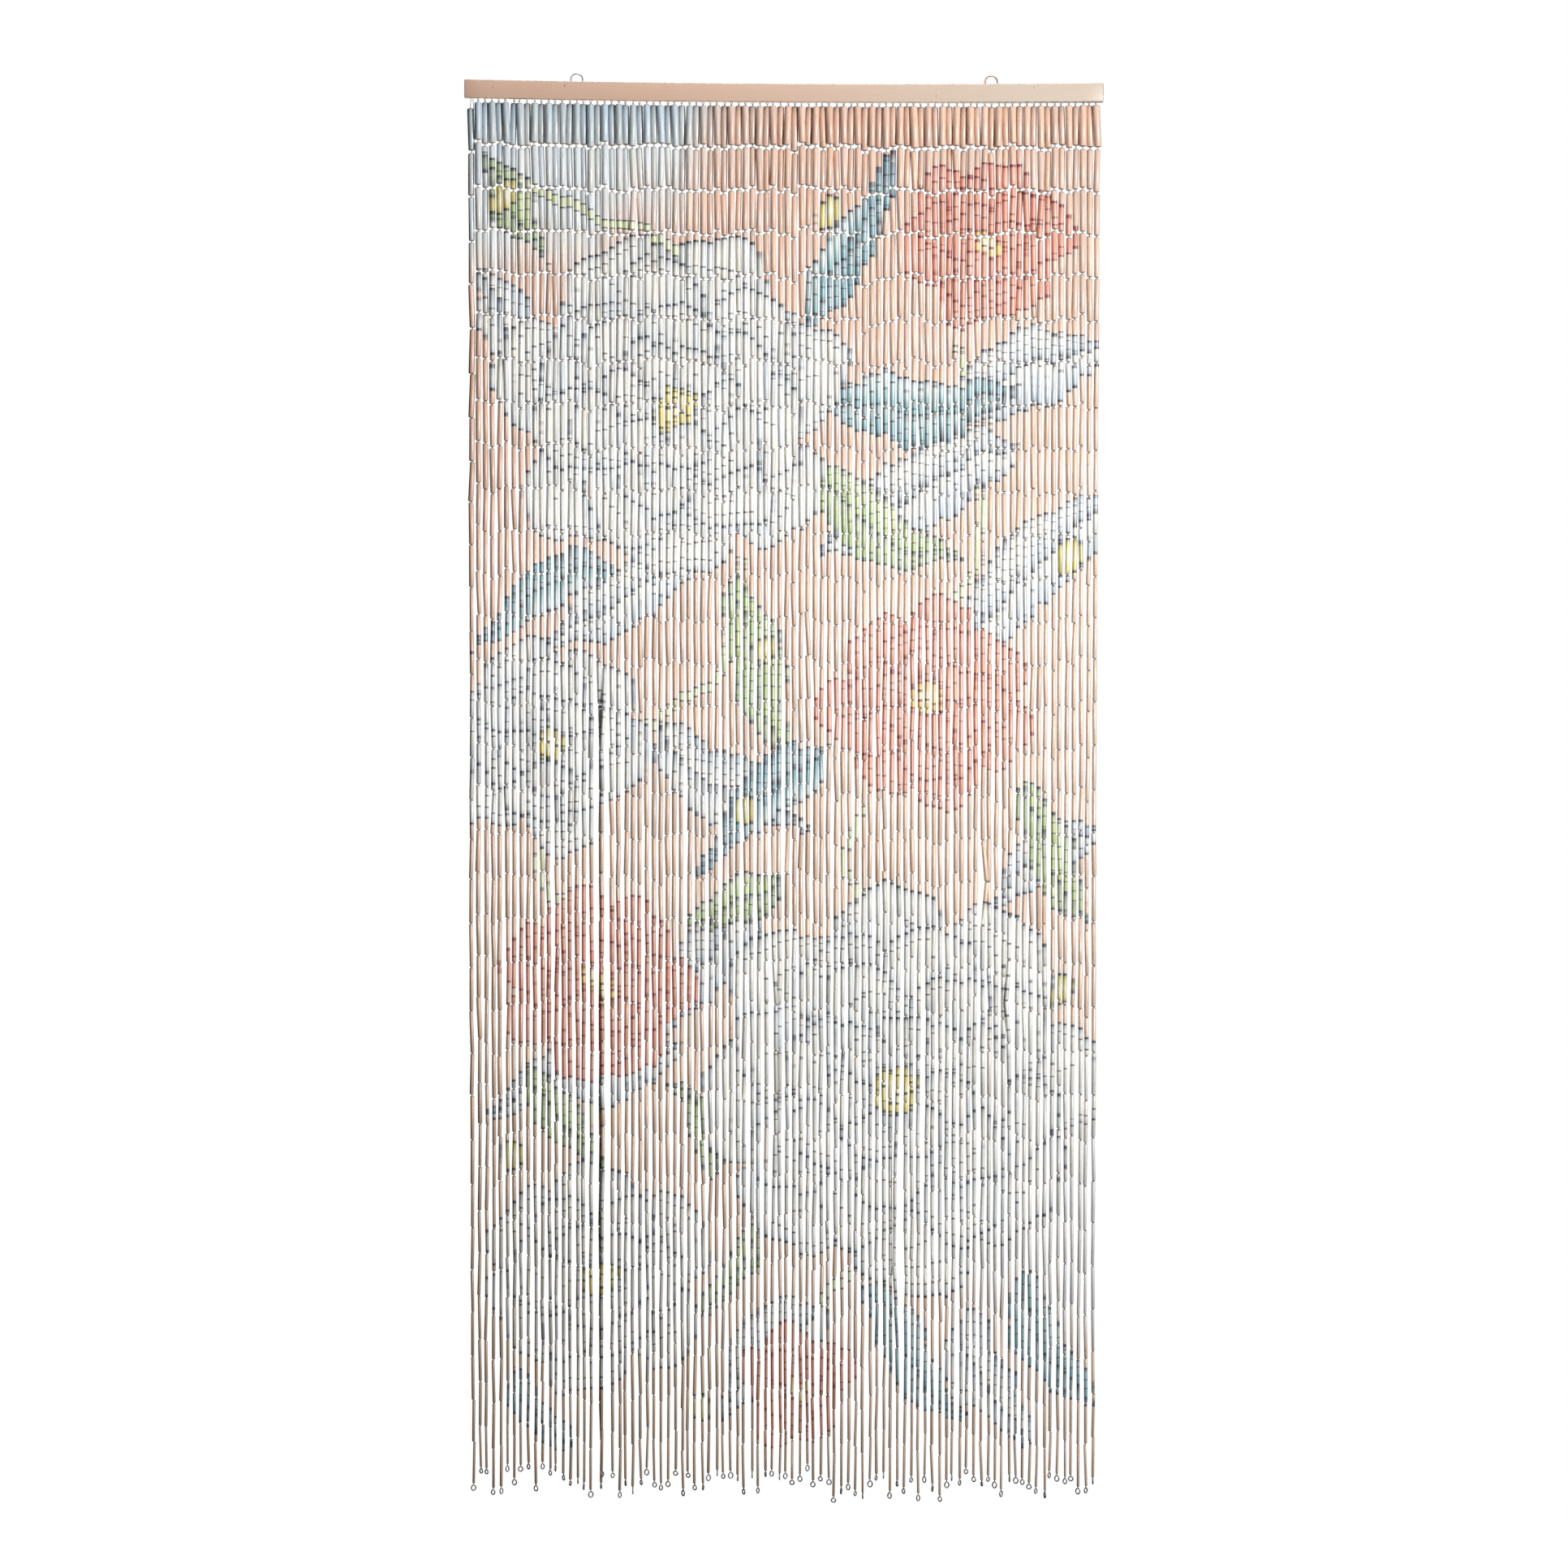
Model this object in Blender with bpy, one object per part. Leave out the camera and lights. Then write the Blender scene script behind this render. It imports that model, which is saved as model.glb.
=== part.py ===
# Bead door curtain: ninety strands of bamboo beads hanging from a painted wooden batten.
# Units are metres. X runs along the batten, Y from the front to the wall, Z is up.
# The origin lies midway between the two hanging loops, at the height where hooks carry them.

import math
import random

import bmesh
import bpy
from mathutils import Vector

# Batten
BATTEN_LENGTH = 0.900
BATTEN_HEIGHT = 0.026
BATTEN_DEPTH = 0.012
BATTEN_BEARING = 0.0115  # height of the loops' bearing above the batten's top edge
BATTEN_SAG = 0.0036  # dip of the middle below a straight line between the ends
BATTEN_TILT = 0.0054  # the left end hangs this much above the right end
BATTEN_STATIONS = 18
BATTEN_EASING = 0.0011

# Hanging loops: name, place along the batten, outer width, height above the batten
LOOP_PLACE = 0.292
LOOP_WIRE = 0.0019
LOOP_SEAT = 0.009  # depth of each leg in the batten
LOOP_ARC_STEPS = 12
LOOPS = (
    ("hanging_loop_left", -LOOP_PLACE, 0.0185, 0.0125),
    ("hanging_loop_right", LOOP_PLACE, 0.0200, 0.0130),
)
DRILL_RADIUS = 0.00137
DRILL_SIDES = 12
DRILL_START = 0.004  # how far above the batten a hole's cutter starts
SEAT_GAP = 0.0003  # air between pieces that touch

# Strands
GROUPS = 6
STRANDS_IN_GROUP = 15
STRANDS = GROUPS * STRANDS_IN_GROUP
TOP_PITCH = 0.00991
END_PITCH = 0.00980
END_SHIFT = -0.0020  # the ends hang a little left of the hooks
SEED = 90
STRIP_HEIGHT = 0.0012
STRIP_DEPTH = 0.0050
STRIP_GAP = 0.0010  # between the strips of neighbouring groups
HOOK_RADIUS = 0.0008
HOOK_REACH = 0.0052  # from the batten to the first bead
HOOK_SPREAD = 0.0005
LONG_HOOK_REACH = 0.0135  # on the first strand, which hangs from a longer wire

# Beads
BEADS = 32
BEAD_LENGTH = 0.0570
BEAD_GAP = 0.0035
BEAD_SPREAD = 0.0021  # how unevenly the beads are cut
BEAD_MOST_OFF = 0.006
SECTION_JOINTS = (1, 4, 8, 12, 17, 22, 27, 31, 32)  # joints where a strand's section is set
STAGGER_TOP = 0.0020  # neighbours push each other to the front and the back
STAGGER_END = 0.0007
STAGGER_FADE = 5.0  # in beads
WANDER = 0.0014  # sideways wander of a strand low down
WANDER_TURNS = (1.1, 3.5)  # how many times the slow and the quick wander swing to and fro
WANDER_SHARES = ((0.3, 1.0), (0.2, 0.5))  # least and most of each, as shares of the wander
WANDER_GROWTH = (0.12, 1.5)  # share of the wander at the top, and its growth down the strand
JITTER = 0.00025  # of single joints
JITTER_GROWTH = (0.3, 3.0)

# Bead radius down a strand: joint, radius
RADII = (
    (0, 0.00480),
    (1, 0.00470),
    (1.6, 0.00420),
    (3, 0.00400),
    (6, 0.00350),
    (9, 0.00300),
    (11, 0.00270),
    (16, 0.00258),
    (26, 0.00252),
    (30, 0.00235),
    (32, 0.00190),
)

# Strands that lean or kink: strand, first joint, last joint, shift to the right, shift to the wall
LEANS = (
    (18, 15, 32, 0.0042, 0.0030),
    (19, 15, 32, -0.0046, -0.0030),
    (43, 21, 24, 0.0030, -0.0022),
    (61, 25, 27, -0.0032, -0.0028),
    (73, 18, 18, 0.0062, -0.0052),
    (77, 21, 21, -0.0034, -0.0026),
)
LEAN_EASE = 2.0  # beads over which a long lean comes and goes

# Eye at a strand's end
EYE_NECK = 0.0012
EYE_WIDTHS = (0.0058, 0.0080)
EYE_HEIGHTS = (0.0078, 0.0105)
EYE_TURN = 0.9  # how far the eyes turn about their strands, in radians
EYE_WIRE = 0.0012

BLUSH_PAINT = (0.68, 0.47, 0.37)
BAMBOO_PAINT = (0.55, 0.33, 0.22)
WIRE_GREY = (0.30, 0.29, 0.28)

# Directions of a section's four corners, by angle
CORNERS = ((0, -1), (1, 0), (0, 1), (-1, 0))


def clear_scene():
    for obj in list(bpy.data.objects):
        bpy.data.objects.remove(obj, do_unlink=True)


def material(name, color, roughness, metallic):
    made = bpy.data.materials.new(name)
    made.use_nodes = True
    shader = made.node_tree.nodes["Principled BSDF"]
    shader.inputs["Base Color"].default_value = (*color, 1.0)
    shader.inputs["Roughness"].default_value = roughness
    shader.inputs["Metallic"].default_value = metallic
    return made


def object_of(name, mesh, finish):
    obj = bpy.data.objects.new(name, mesh)
    bpy.context.scene.collection.objects.link(obj)
    mesh.materials.append(finish)
    return obj


def batten_top(x):
    """Height of the batten's top edge, which sags in the middle and hangs out of level."""
    half = BATTEN_LENGTH / 2
    sag = BATTEN_SAG * (x**2 - LOOP_PLACE**2) / half**2
    return sag - BATTEN_BEARING - BATTEN_TILT / 2 * x / half


def batten_underside(x):
    return batten_top(x) - BATTEN_HEIGHT


def make_batten(finish):
    bm = bmesh.new()
    bmesh.ops.create_cube(bm, size=1.0)
    bmesh.ops.scale(bm, vec=(BATTEN_LENGTH, BATTEN_DEPTH, BATTEN_HEIGHT), verts=bm.verts)
    for station in range(1, BATTEN_STATIONS):
        x = BATTEN_LENGTH * (station / BATTEN_STATIONS - 0.5)
        everything = bm.verts[:] + bm.edges[:] + bm.faces[:]
        bmesh.ops.bisect_plane(bm, geom=everything, plane_co=(x, 0, 0), plane_no=(1, 0, 0))
    for vert in bm.verts:
        vert.co.z += batten_top(vert.co.x) - BATTEN_HEIGHT / 2
    mesh = bpy.data.meshes.new("batten")
    bm.to_mesh(mesh)
    bm.free()
    batten = object_of("batten", mesh, finish)
    easing = batten.modifiers.new("eased edges", "BEVEL")
    easing.width = BATTEN_EASING
    easing.segments = 2
    easing.limit_method = "ANGLE"
    for _, x, width, _ in LOOPS:
        for side in (-1, 1):
            drill_hole(batten, x + side * (width - LOOP_WIRE) / 2)
    return batten


def drill_hole(batten, x):
    """A blind hole in the batten's top edge for one leg of a loop."""
    depth = LOOP_SEAT + SEAT_GAP
    bpy.ops.mesh.primitive_cylinder_add(
        vertices=DRILL_SIDES,
        radius=DRILL_RADIUS,
        depth=depth + DRILL_START,
        location=(x, 0, batten_top(x) + (DRILL_START - depth) / 2),
    )
    drill = bpy.context.active_object
    drill.name = f"drill {x:.3f}"
    drill.hide_render = True
    drill.display_type = "WIRE"
    cut = batten.modifiers.new(drill.name, "BOOLEAN")
    cut.operation = "DIFFERENCE"
    cut.solver = "EXACT"
    cut.object = drill


def make_loop(name, x, width, height, finish):
    """A wire arch whose two legs stand in the batten's holes."""
    radius = (width - LOOP_WIRE) / 2
    arc_z = batten_top(x) + height - LOOP_WIRE / 2 - radius
    points = [(x + radius, 0, batten_top(x + radius) - LOOP_SEAT)]
    for step in range(LOOP_ARC_STEPS + 1):
        angle = math.pi * step / LOOP_ARC_STEPS
        points.append((x + radius * math.cos(angle), 0, arc_z + radius * math.sin(angle)))
    points.append((x - radius, 0, batten_top(x - radius) - LOOP_SEAT))
    curve = bpy.data.curves.new(name, "CURVE")
    curve.dimensions = "3D"
    curve.bevel_depth = LOOP_WIRE / 2
    curve.bevel_resolution = 2
    curve.use_fill_caps = True
    spline = curve.splines.new("POLY")
    spline.points.add(len(points) - 1)
    for point, place in zip(spline.points, points):
        point.co = (*place, 1.0)
    return object_of(name, curve, finish)


def read_table(table, key):
    """The value at key, between the rows of a table of two columns."""
    for (low, low_value), (high, high_value) in zip(table, table[1:]):
        if key <= high:
            return low_value + (high_value - low_value) * (key - low) / (high - low)
    return table[-1][1]


def lean_of(strand, joint):
    """How far a leaning strand's joint is shifted to the right and to the wall."""
    right = back = 0.0
    for leaning, first, last, shift_right, shift_back in LEANS:
        if leaning == strand:
            outside = max(first - joint, joint - last, 0)
            share = max(0.0, 1.0 - outside / LEAN_EASE) if last > first else float(outside == 0)
            right += shift_right * share
            back += shift_back * share
    return right, back


def strand_shape(strand):
    """A strand's joints from its first bead's top to its last bead's end, and its eye's measures."""
    chance = random.Random(SEED + strand)
    place = strand - (STRANDS - 1) / 2
    top_x = place * TOP_PITCH
    end_x = place * END_PITCH + END_SHIFT
    reach = LONG_HOOK_REACH if strand == 0 else HOOK_REACH
    z = batten_underside(top_x) - reach + chance.uniform(-HOOK_SPREAD, HOOK_SPREAD)
    phases = [chance.uniform(0, 2 * math.pi) for _ in WANDER_TURNS]
    sizes = [chance.uniform(*shares) * WANDER for shares in WANDER_SHARES]
    side = -1 if strand % 2 else 1
    joints = []
    for joint in range(BEADS + 1):
        down = joint / BEADS
        swings = zip(sizes, phases, WANDER_TURNS)
        wander = sum(size * math.sin(phase + 2 * math.pi * turns * down) for size, phase, turns in swings)
        wander *= min(1.0, WANDER_GROWTH[0] + WANDER_GROWTH[1] * down)
        wander += chance.gauss(0, JITTER) * min(1.0, JITTER_GROWTH[0] + JITTER_GROWTH[1] * down)
        right, back = lean_of(strand, joint)
        fade = math.exp(-max(joint - 1, 0) / STAGGER_FADE)
        stagger = STAGGER_END + (STAGGER_TOP - STAGGER_END) * fade
        x = top_x + (end_x - top_x) * down + wander + right
        y = side * stagger + chance.gauss(0, JITTER) + back
        joints.append(Vector((x, y, z)))
        length = BEAD_LENGTH + max(-BEAD_MOST_OFF, min(BEAD_MOST_OFF, chance.gauss(0, BEAD_SPREAD)))
        z -= length + (BEAD_GAP if joint < BEADS - 1 else 0.0)
    eye_width = chance.uniform(*EYE_WIDTHS)
    eye_height = chance.uniform(*EYE_HEIGHTS)
    eye_turn = chance.gauss(0, EYE_TURN)
    return joints, (eye_width, eye_height, eye_turn)


def sections_of(strand):
    """A strand's sections below its root: centre, half width, half depth."""
    joints, (eye_width, eye_height, eye_turn) = strand_shape(strand)
    top = joints[0]
    rows = [(top, HOOK_RADIUS, HOOK_RADIUS), (top, RADII[0][1], RADII[0][1])]
    kinks = {row[1] + step for row in LEANS if row[0] == strand for step in (-1, 0, 1)}
    for joint in sorted(set(SECTION_JOINTS) | kinks):
        if joint <= BEADS:
            radius = read_table(RADII, joint)
            rows.append((joints[joint], radius, radius))
    end = joints[-1]
    rows.append((end, EYE_WIRE / 2, EYE_WIRE / 2))
    across = max(eye_width * abs(math.cos(eye_turn)), EYE_WIRE) / 2
    back = max(eye_width * abs(math.sin(eye_turn)), EYE_WIRE) / 2
    rows.append((end - Vector((0, 0, EYE_NECK + eye_height / 2)), across, back))
    rows.append((end - Vector((0, 0, EYE_NECK + eye_height)), EYE_WIRE, EYE_WIRE / 2))
    return rows


def set_section(face, corners, centre, half_width, half_depth):
    """Moves a face's four points onto one section, each in its own corner's direction."""
    for (right, back), vert in zip(corners, face.verts):
        vert.co = centre + Vector((right * half_width, back * half_depth, 0))


def make_strands(group, finish):
    """Fifteen strands drawn down from the cells of one narrow strip under the batten."""
    first = group * STRANDS_IN_GROUP
    places = [strand - (STRANDS - 1) / 2 for strand in range(first, first + STRANDS_IN_GROUP)]
    edges = [(places[0] - 0.5) * TOP_PITCH + STRIP_GAP / 2]
    edges += [(place + 0.5) * TOP_PITCH for place in places[:-1]]
    edges.append((places[-1] + 0.5) * TOP_PITCH - STRIP_GAP / 2)
    bm = bmesh.new()
    rings = [strip_ring(bm, x) for x in edges]
    for ring, next_ring in zip(rings, rings[1:]):
        for corner in range(4):
            after = (corner + 1) % 4
            bm.faces.new((ring[corner], ring[after], next_ring[after], next_ring[corner]))
    bm.faces.new(reversed(rings[0]))
    bm.faces.new(rings[-1])
    bmesh.ops.recalc_face_normals(bm, faces=bm.faces)
    cells = sorted((f for f in bm.faces if f.normal.z < -0.9), key=lambda f: f.calc_center_median().x)
    for strand, cell in enumerate(cells, first):
        draw_strand(bm, cell, strand)
    mesh = bpy.data.meshes.new(f"strands_{group + 1}")
    bm.to_mesh(mesh)
    bm.free()
    return object_of(f"strands_{group + 1}", mesh, finish)


def strip_ring(bm, x):
    """The strip's four corners at one place along it, just under the batten."""
    top = batten_underside(x) - SEAT_GAP
    half = STRIP_DEPTH / 2
    corners = ((-half, top), (half, top), (half, top - STRIP_HEIGHT), (-half, top - STRIP_HEIGHT))
    return [bm.verts.new((x, y, z)) for y, z in corners]


def draw_strand(bm, cell, strand):
    """Insets the hook's root in one cell of the strip and extrudes it down section by section."""
    x = (strand - (STRANDS - 1) / 2) * TOP_PITCH
    root = Vector((x, 0, batten_underside(x) - SEAT_GAP - STRIP_HEIGHT))
    bmesh.ops.inset_individual(bm, faces=[cell], thickness=STRIP_DEPTH / 4)
    bm.verts.index_update()
    face = cell
    corners = corners_of(face, root)
    set_section(face, corners, root, HOOK_RADIUS, HOOK_RADIUS)
    for centre, half_width, half_depth in sections_of(strand):
        face = bmesh.ops.extrude_discrete_faces(bm, faces=[face])["faces"][0]
        set_section(face, corners, centre, half_width, half_depth)


def corners_of(face, root):
    """The corner that each of the face's points goes to, in the order of the face's points."""
    by_angle = sorted(face.verts, key=lambda v: math.atan2(v.co.y - root.y, v.co.x - root.x))
    corner_by_point = {vert.index: corner for vert, corner in zip(by_angle, CORNERS)}
    return [corner_by_point[vert.index] for vert in face.verts]


clear_scene()
blush = material("blush_paint", BLUSH_PAINT, 0.6, 0.0)
bamboo = material("painted_bamboo", BAMBOO_PAINT, 0.55, 0.0)
wire = material("steel_wire", WIRE_GREY, 0.35, 1.0)
make_batten(blush)
for loop in LOOPS:
    make_loop(*loop, wire)
for group in range(GROUPS):
    make_strands(group, bamboo)
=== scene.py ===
import math
import random

import bpy
import numpy
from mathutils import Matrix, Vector


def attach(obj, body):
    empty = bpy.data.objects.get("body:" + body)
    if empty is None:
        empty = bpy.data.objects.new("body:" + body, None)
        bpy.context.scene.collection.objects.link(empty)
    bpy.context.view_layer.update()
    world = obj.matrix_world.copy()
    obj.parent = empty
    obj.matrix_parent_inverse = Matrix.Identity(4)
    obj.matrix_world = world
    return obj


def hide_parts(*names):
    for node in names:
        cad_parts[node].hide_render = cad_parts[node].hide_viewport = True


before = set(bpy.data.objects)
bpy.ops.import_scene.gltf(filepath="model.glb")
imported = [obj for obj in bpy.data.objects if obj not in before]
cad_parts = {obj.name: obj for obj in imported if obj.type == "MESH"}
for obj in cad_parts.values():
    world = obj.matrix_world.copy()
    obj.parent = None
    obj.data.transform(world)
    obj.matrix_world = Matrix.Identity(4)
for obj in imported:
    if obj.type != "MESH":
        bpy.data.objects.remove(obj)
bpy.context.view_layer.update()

# Bead door curtain. Metres, +X right along the batten, +Y to the wall, +Z up.
print("frame loaded")


# small helpers

def deselectAll():
    if bpy.context.mode != "OBJECT":
        bpy.ops.object.mode_set(mode="OBJECT")
    bpy.ops.object.select_all(action="DESELECT")


def selectWhere(obj, part, test):
    # picks faces, edges or vertices in code, then goes back to edit mode
    bpy.ops.object.mode_set(mode="OBJECT")
    for item in getattr(obj.data, part):
        item.select = test(item)
    bpy.ops.object.mode_set(mode="EDIT")


def linear(rgb):
    # screen colour to the linear values that Blender mixes
    rgb = numpy.asarray(rgb, float)
    return numpy.where(rgb <= 0.04045, rgb / 12.92, ((rgb + 0.055) / 1.055) ** 2.4)


def smoothstep(x):
    x = numpy.clip(x, 0.0, 1.0)
    return x * x * (3.0 - 2.0 * x)


# how the strands hang: the same sizes and the same draws as the solids

hang = {
    "strands": 90, "groups": 6, "beads": 32, "seed": 90,
    "topPitch": 0.00991, "endPitch": 0.00980, "endShift": -0.0020,
    "hookReach": 0.0052, "longReach": 0.0135, "hookSpread": 0.0005,
    "beadLength": 0.0570, "beadGap": 0.0035, "beadSpread": 0.0021, "mostOff": 0.006,
    "staggerTop": 0.0020, "staggerEnd": 0.0007, "staggerFade": 5.0,
    "wander": 0.0014, "wanderTurns": (1.1, 3.5), "wanderShares": ((0.3, 1.0), (0.2, 0.5)),
    "wanderGrowth": (0.12, 1.5), "jitter": 0.00025, "jitterGrowth": (0.3, 3.0),
    "leanEase": 2.0,
    "eyeNeck": 0.0012, "eyeWidths": (0.0058, 0.0080), "eyeHeights": (0.0078, 0.0105),
    "eyeTurn": 0.9,
}

leans = (  # strand, first joint, last joint, shift right, shift back
    (18, 15, 32, 0.0042, 0.0030),
    (19, 15, 32, -0.0046, -0.0030),
    (43, 21, 24, 0.0030, -0.0022),
    (61, 25, 27, -0.0032, -0.0028),
    (73, 18, 18, 0.0062, -0.0052),
    (77, 21, 21, -0.0034, -0.0026),
)

radii = (  # joint, bead radius
    (0, 0.00480), (1, 0.00470), (1.6, 0.00420), (3, 0.00400), (6, 0.00350), (9, 0.00300),
    (11, 0.00270), (16, 0.00258), (26, 0.00252), (30, 0.00235), (32, 0.00190),
)

batten = {
    "length": 0.900, "height": 0.026, "depth": 0.012, "bearing": 0.0115,
    "sag": 0.0036, "tilt": 0.0054, "loopPlace": 0.292, "stations": 36,
    "easing": 0.0013, "easingSteps": 3, "wearReach": 0.0009,
}


def battenTop(x):
    half = batten["length"] / 2
    sag = batten["sag"] * (x**2 - batten["loopPlace"] ** 2) / half**2
    return sag - batten["bearing"] - batten["tilt"] / 2 * x / half


def battenUnderside(x):
    return battenTop(x) - batten["height"]


def beadRadius(joint):
    joints, values = zip(*radii)
    return float(numpy.interp(joint, joints, values))


def leanOf(strand, joint):
    right = back = 0.0
    for leaning, first, last, shiftRight, shiftBack in leans:
        if leaning == strand:
            outside = max(first - joint, joint - last, 0)
            share = max(0.0, 1.0 - outside / hang["leanEase"]) if last > first else float(outside == 0)
            right += shiftRight * share
            back += shiftBack * share
    return right, back


def strandShape(strand):
    # joints from the first bead's top to the last bead's end, and the eye's width, height and turn
    chance = random.Random(hang["seed"] + strand)
    place = strand - (hang["strands"] - 1) / 2
    topX = place * hang["topPitch"]
    endX = place * hang["endPitch"] + hang["endShift"]
    reach = hang["longReach"] if strand == 0 else hang["hookReach"]
    z = battenUnderside(topX) - reach + chance.uniform(-hang["hookSpread"], hang["hookSpread"])
    phases = [chance.uniform(0, 2 * math.pi) for _ in hang["wanderTurns"]]
    sizes = [chance.uniform(*shares) * hang["wander"] for shares in hang["wanderShares"]]
    side = -1 if strand % 2 else 1
    joints = []
    for joint in range(hang["beads"] + 1):
        down = joint / hang["beads"]
        swings = zip(sizes, phases, hang["wanderTurns"])
        wander = sum(size * math.sin(phase + 2 * math.pi * turns * down) for size, phase, turns in swings)
        wander *= min(1.0, hang["wanderGrowth"][0] + hang["wanderGrowth"][1] * down)
        quiet = min(1.0, hang["jitterGrowth"][0] + hang["jitterGrowth"][1] * down)
        wander += chance.gauss(0, hang["jitter"]) * quiet
        right, back = leanOf(strand, joint)
        fade = math.exp(-max(joint - 1, 0) / hang["staggerFade"])
        stagger = hang["staggerEnd"] + (hang["staggerTop"] - hang["staggerEnd"]) * fade
        x = topX + (endX - topX) * down + wander + right
        y = side * stagger + chance.gauss(0, hang["jitter"]) + back
        joints.append(Vector((x, y, z)))
        off = chance.gauss(0, hang["beadSpread"])
        length = hang["beadLength"] + max(-hang["mostOff"], min(hang["mostOff"], off))
        z -= length + (hang["beadGap"] if joint < hang["beads"] - 1 else 0.0)
    eyeWidth = chance.uniform(*hang["eyeWidths"])
    eyeHeight = chance.uniform(*hang["eyeHeights"])
    eyeTurn = chance.gauss(0, hang["eyeTurn"])
    return joints, (eyeWidth, eyeHeight, eyeTurn)


strandShapes = [strandShape(strand) for strand in range(hang["strands"])]
print("strands laid out")


# the painted design: generic blossoms, leaves and stems, worked out in millimetres.
# across runs from the middle of the curtain to the right, down runs from the batten's underside.

paints = {
    "ground": (0.905, 0.752, 0.668),
    "groundPale": (0.912, 0.802, 0.718),
    "white": (0.940, 0.935, 0.905),
    "ink": (0.195, 0.210, 0.250),
    "inkSoft": (0.360, 0.410, 0.500),
    "haze": (0.640, 0.690, 0.740),
    "coral": (0.890, 0.590, 0.500),
    "coralLight": (0.920, 0.710, 0.630),
    "coralInk": (0.500, 0.210, 0.200),
    "coralSoft": (0.820, 0.440, 0.380),
    "teal": (0.490, 0.665, 0.700),
    "tealLight": (0.855, 0.905, 0.895),
    "green": (0.700, 0.785, 0.540),
    "greenLight": (0.870, 0.895, 0.740),
    "yellow": (0.945, 0.870, 0.480),
    "pale": (0.935, 0.930, 0.905),
    "paleLight": (0.780, 0.820, 0.850),
    "sky": (0.865, 0.890, 0.900),
    "skyDeep": (0.670, 0.750, 0.800),
}

blossoms = (  # across, down, radius, petals, rings, turn, family
    (-160, 420, 250, 7, 4, 0.3, "white"),
    (165, 1380, 290, 8, 4, 0.1, "white"),
    (-335, 900, 150, 6, 3, 0.8, "white"),
    (-265, 1650, 165, 6, 3, 0.5, "white"),
    (285, 190, 120, 6, 3, 0.2, "coral"),
    (205, 840, 150, 7, 3, 0.6, "coral"),
    (-265, 1240, 140, 7, 3, 0.0, "coral"),
    (20, 1800, 85, 5, 2, 0.4, "coral"),
)

leaves = (  # from across, down, to across, down, half width, family
    (330, 480, 60, 640, 60, "pale"),
    (460, 560, 250, 780, 58, "pale"),
    (450, 330, 200, 470, 48, "pale"),
    (-120, 640, -330, 770, 46, "pale"),
    (-180, 880, 40, 1010, 50, "pale"),
    (-140, 1330, -420, 1420, 48, "pale"),
    (-30, 1120, -190, 1330, 44, "pale"),
    (440, 1010, 300, 1130, 40, "pale"),
    (60, 1680, -90, 1860, 44, "pale"),
    (250, 1690, 350, 1890, 42, "pale"),
    (-420, 240, -330, 420, 40, "pale"),
    (30, 300, 150, 60, 34, "teal"),
    (60, 420, 330, 400, 46, "teal"),
    (30, 520, 250, 640, 44, "green"),
    (-250, 640, -440, 760, 34, "teal"),
    (-60, 660, 10, 930, 38, "green"),
    (340, 960, 440, 1150, 34, "green"),
    (60, 900, -120, 1080, 36, "teal"),
    (-130, 1150, 10, 1080, 30, "green"),
    (-360, 1360, -250, 1500, 30, "green"),
    (-90, 1500, -160, 1380, 26, "green"),
    (330, 1650, 440, 1830, 38, "teal"),
    (120, 1660, 260, 1850, 36, "teal"),
    (-110, 1690, -30, 1560, 26, "green"),
    (-380, 1780, -300, 1900, 24, "teal"),
    (-420, 70, -330, 220, 28, "green"),
)

stems = (  # from across, down, bend across, down, to across, down
    (-60, 640, -40, 800, -250, 910),
    (250, 330, 330, 560, 240, 700),
    (120, 990, 60, 1080, 120, 1140),
    (-330, 1020, -380, 1120, -300, 1110),
    (100, 1640, 40, 1690, 30, 1730),
    (-260, 1380, -300, 1460, -260, 1520),
    (-160, 210, -260, 120, -400, 130),
)

buds = (  # across, down, radius
    (-400, 130, 20), (60, 150, 18), (400, 640, 22), (-60, 1000, 18), (390, 1240, 18), (-390, 1480, 18),
    (-120, 1830, 16), (-30, 760, 16),
)

brushwork = {
    "line": 2.7, "thinLine": 1.7, "lineEdge": 0.9, "haze": 17.0, "blown": 4.0, "wobble": 0.035,
    "step": 1.0, "tolerance": 0.05, "mostRings": 14,
}

clouds = {  # place and half size as across, down
    "high": {"place": (-445, 20), "half": (430, 260), "firm": 2.4},
    "low": {"place": (460, 1560), "half": (330, 210), "firm": 2.2},
}

fades = {
    "paleFrom": -200, "paleReach": 1300, "deepTo": 70, "deepReach": 90, "deepShare": 0.75, "lowShare": 0.8,
    # painted shade towards the lower left: where it starts, how far it grows, and how much it darkens each
    # colour
    "shadeFrom": 1400, "shadeReach": 800, "shadeDepth": (0.14, 0.16, 0.19),
}


def tint(colour, mask, name):
    colour += mask[:, None] * (numpy.array(paints[name]) - colour)


def lineMask(distance, width):
    # a line is weak where it runs along a strand, as on the real beads, which take it as a ring
    slope = numpy.abs(numpy.gradient(distance)) if len(distance) > 1 else numpy.ones(1)
    mask = numpy.clip((width / 2 - numpy.abs(distance)) / brushwork["lineEdge"] + 0.5, 0.0, 1.0)
    return mask * numpy.clip(slope * 1.8 - 0.15, 0.0, 1.0)


def outline(part, distance, inside, family):
    # a crisp line that is blown out softly to the inner side of the edge
    soft = "coralSoft" if family == "coral" else "inkSoft"
    tint(part, 0.55 * inside * numpy.exp(-numpy.clip(-distance, 0, None) / brushwork["blown"]), soft)
    tint(part, lineMask(distance, brushwork["line"]), "coralInk" if family == "coral" else "ink")


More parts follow.
